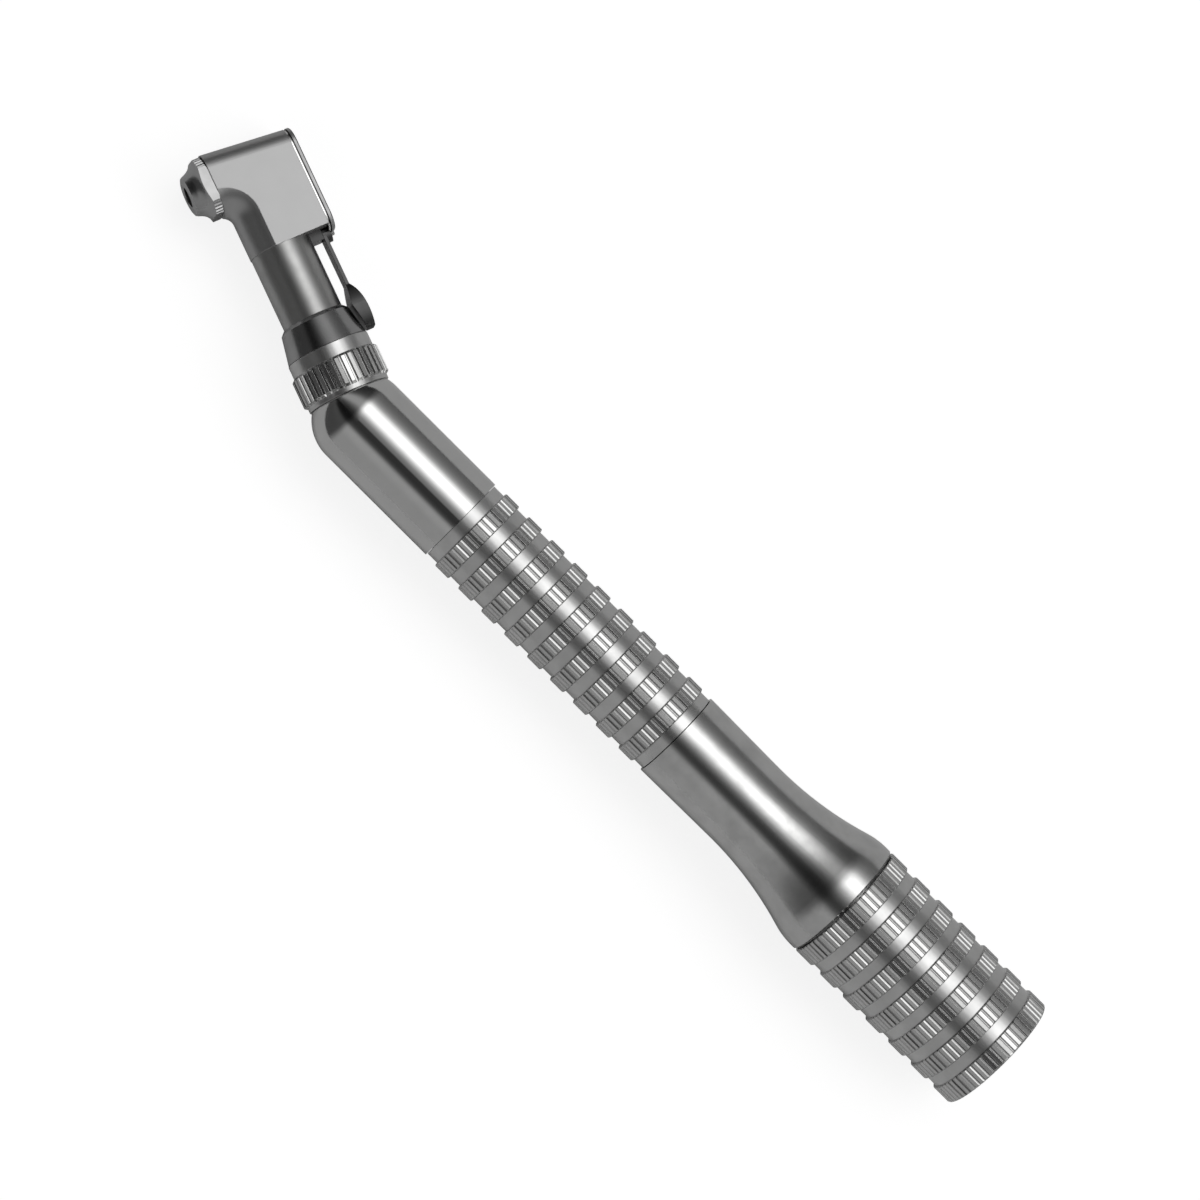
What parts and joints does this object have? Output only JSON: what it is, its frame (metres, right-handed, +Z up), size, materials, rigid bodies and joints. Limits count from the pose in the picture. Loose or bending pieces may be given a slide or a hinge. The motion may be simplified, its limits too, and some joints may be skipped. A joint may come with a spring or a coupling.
{
  "type": "surgical contra-angle handpiece",
  "caption": "Geared contra-angle surgical handpiece: fluted metal handle with motor coupling, bent shank, slim neck, latch lever and right-angle bur head.",
  "frame": {"origin": "centre of the rear coupling face, on the handle axis", "axes": "+X along the handle from the rear coupling face to the elbow; +Z up from the surface it lies on; the neck bends toward -Y"},
  "size_m": [0.1675, 0.0312, 0.019],
  "materials": {
    "sleeve_steel": "bright satin turned steel",
    "polished_steel": "dark polished",
    "head_steel": "fine satin",
    "inner_steel": "ground",
    "bronze": "machined"
  },
  "bodies": {
    "handpiece": {"rear_sleeve": "sleeve_steel", "motor_snap_ring": "inner_steel", "waist_sleeve": "sleeve_steel", "front_grip": "sleeve_steel", "bent_shank": "polished_steel", "ring_gear": "inner_steel", "rear_bearing_outer_ring": "inner_steel", "front_bearing_outer_ring": "inner_steel", "carrier_rear_bush": "bronze", "carrier_front_bush": "bronze", "neck_rear_bush": "bronze", "neck_front_bush": "bronze", "neck_collar": "polished_steel", "neck_tube": "head_steel", "head_housing": "head_steel", "latch_guide_plate": "head_steel", "back_cover": "head_steel", "latch_pivot_block": "head_steel", "latch_pivot_pin": "head_steel", "nose_cap": "head_steel", "spindle_back_bush": "bronze", "spindle_nose_bush": "bronze"},
    "input_rotor": {"input_shaft": "inner_steel", "rear_bearing_inner_ring": "inner_steel", "front_bearing_inner_ring": "inner_steel"},
    "carrier": {"planet_carrier": "inner_steel", "drive_crown_gear": "inner_steel"},
    "planet_1": {"planet_gear_1": "inner_steel"},
    "planet_2": {"planet_gear_2": "inner_steel"},
    "planet_3": {"planet_gear_3": "inner_steel"},
    "neck_rotor": {"neck_shaft": "inner_steel", "neck_crown_gear": "inner_steel", "neck_bevel_gear": "inner_steel"},
    "spindle_rotor": {"spindle": "inner_steel", "spindle_gear": "inner_steel"},
    "lever": {"latch_lever": "head_steel"},
    "lock": {"lock_ring": "sleeve_steel"}
  },
  "joints": [
    {"name": "input_spin", "type": "hinge", "parent": "handpiece", "child": "input_rotor", "pos_m": [0.04, 0, 0], "axis": [1, 0, 0], "continuous": true},
    {"name": "carrier_spin", "type": "hinge", "parent": "handpiece", "child": "carrier", "pos_m": [0.1, 0, 0], "axis": [1, 0, 0], "continuous": true},
    {"name": "planet_1_spin", "type": "hinge", "parent": "carrier", "child": "planet_1", "pos_m": [0.0895, 0.003, 0], "axis": [1, 0, 0], "continuous": true},
    {"name": "planet_2_spin", "type": "hinge", "parent": "carrier", "child": "planet_2", "pos_m": [0.0895, -0.0015, 0.0026], "axis": [1, 0, 0], "continuous": true},
    {"name": "planet_3_spin", "type": "hinge", "parent": "carrier", "child": "planet_3", "pos_m": [0.0895, -0.0015, -0.0026], "axis": [1, 0, 0], "continuous": true},
    {"name": "neck_shaft_spin", "type": "hinge", "parent": "handpiece", "child": "neck_rotor", "pos_m": [0.1254, 0, 0], "axis": [0.9373, -0.3379, -0.0855], "continuous": true},
    {"name": "spindle_spin", "type": "hinge", "parent": "handpiece", "child": "spindle_rotor", "pos_m": [0.16111, -0.01287, -0.00326], "axis": [0.3486, 0.9086, 0.2299], "continuous": true},
    {"name": "latch_lever_swing", "type": "hinge", "parent": "handpiece", "child": "lever", "pos_m": [0.14754, -0.01419, -0.00359], "axis": [0.3486, 0.9086, 0.2299], "range_deg": [0, 15]},
    {"name": "lock_ring_turn", "type": "hinge", "parent": "handpiece", "child": "lock", "pos_m": [0.13196, -0.00237, -0.0006], "axis": [0.9373, -0.3379, -0.0855], "range_deg": [0, 90]}
  ],
  "couplings": [
    {"joint": "carrier_spin", "follows": "input_spin", "ratio": 0.25},
    {"joint": "planet_1_spin", "follows": "input_spin", "ratio": -0.75},
    {"joint": "planet_2_spin", "follows": "input_spin", "ratio": -0.75},
    {"joint": "planet_3_spin", "follows": "input_spin", "ratio": -0.75},
    {"joint": "neck_shaft_spin", "follows": "input_spin", "ratio": 0.25},
    {"joint": "spindle_spin", "follows": "input_spin", "ratio": -0.25}
  ]
}
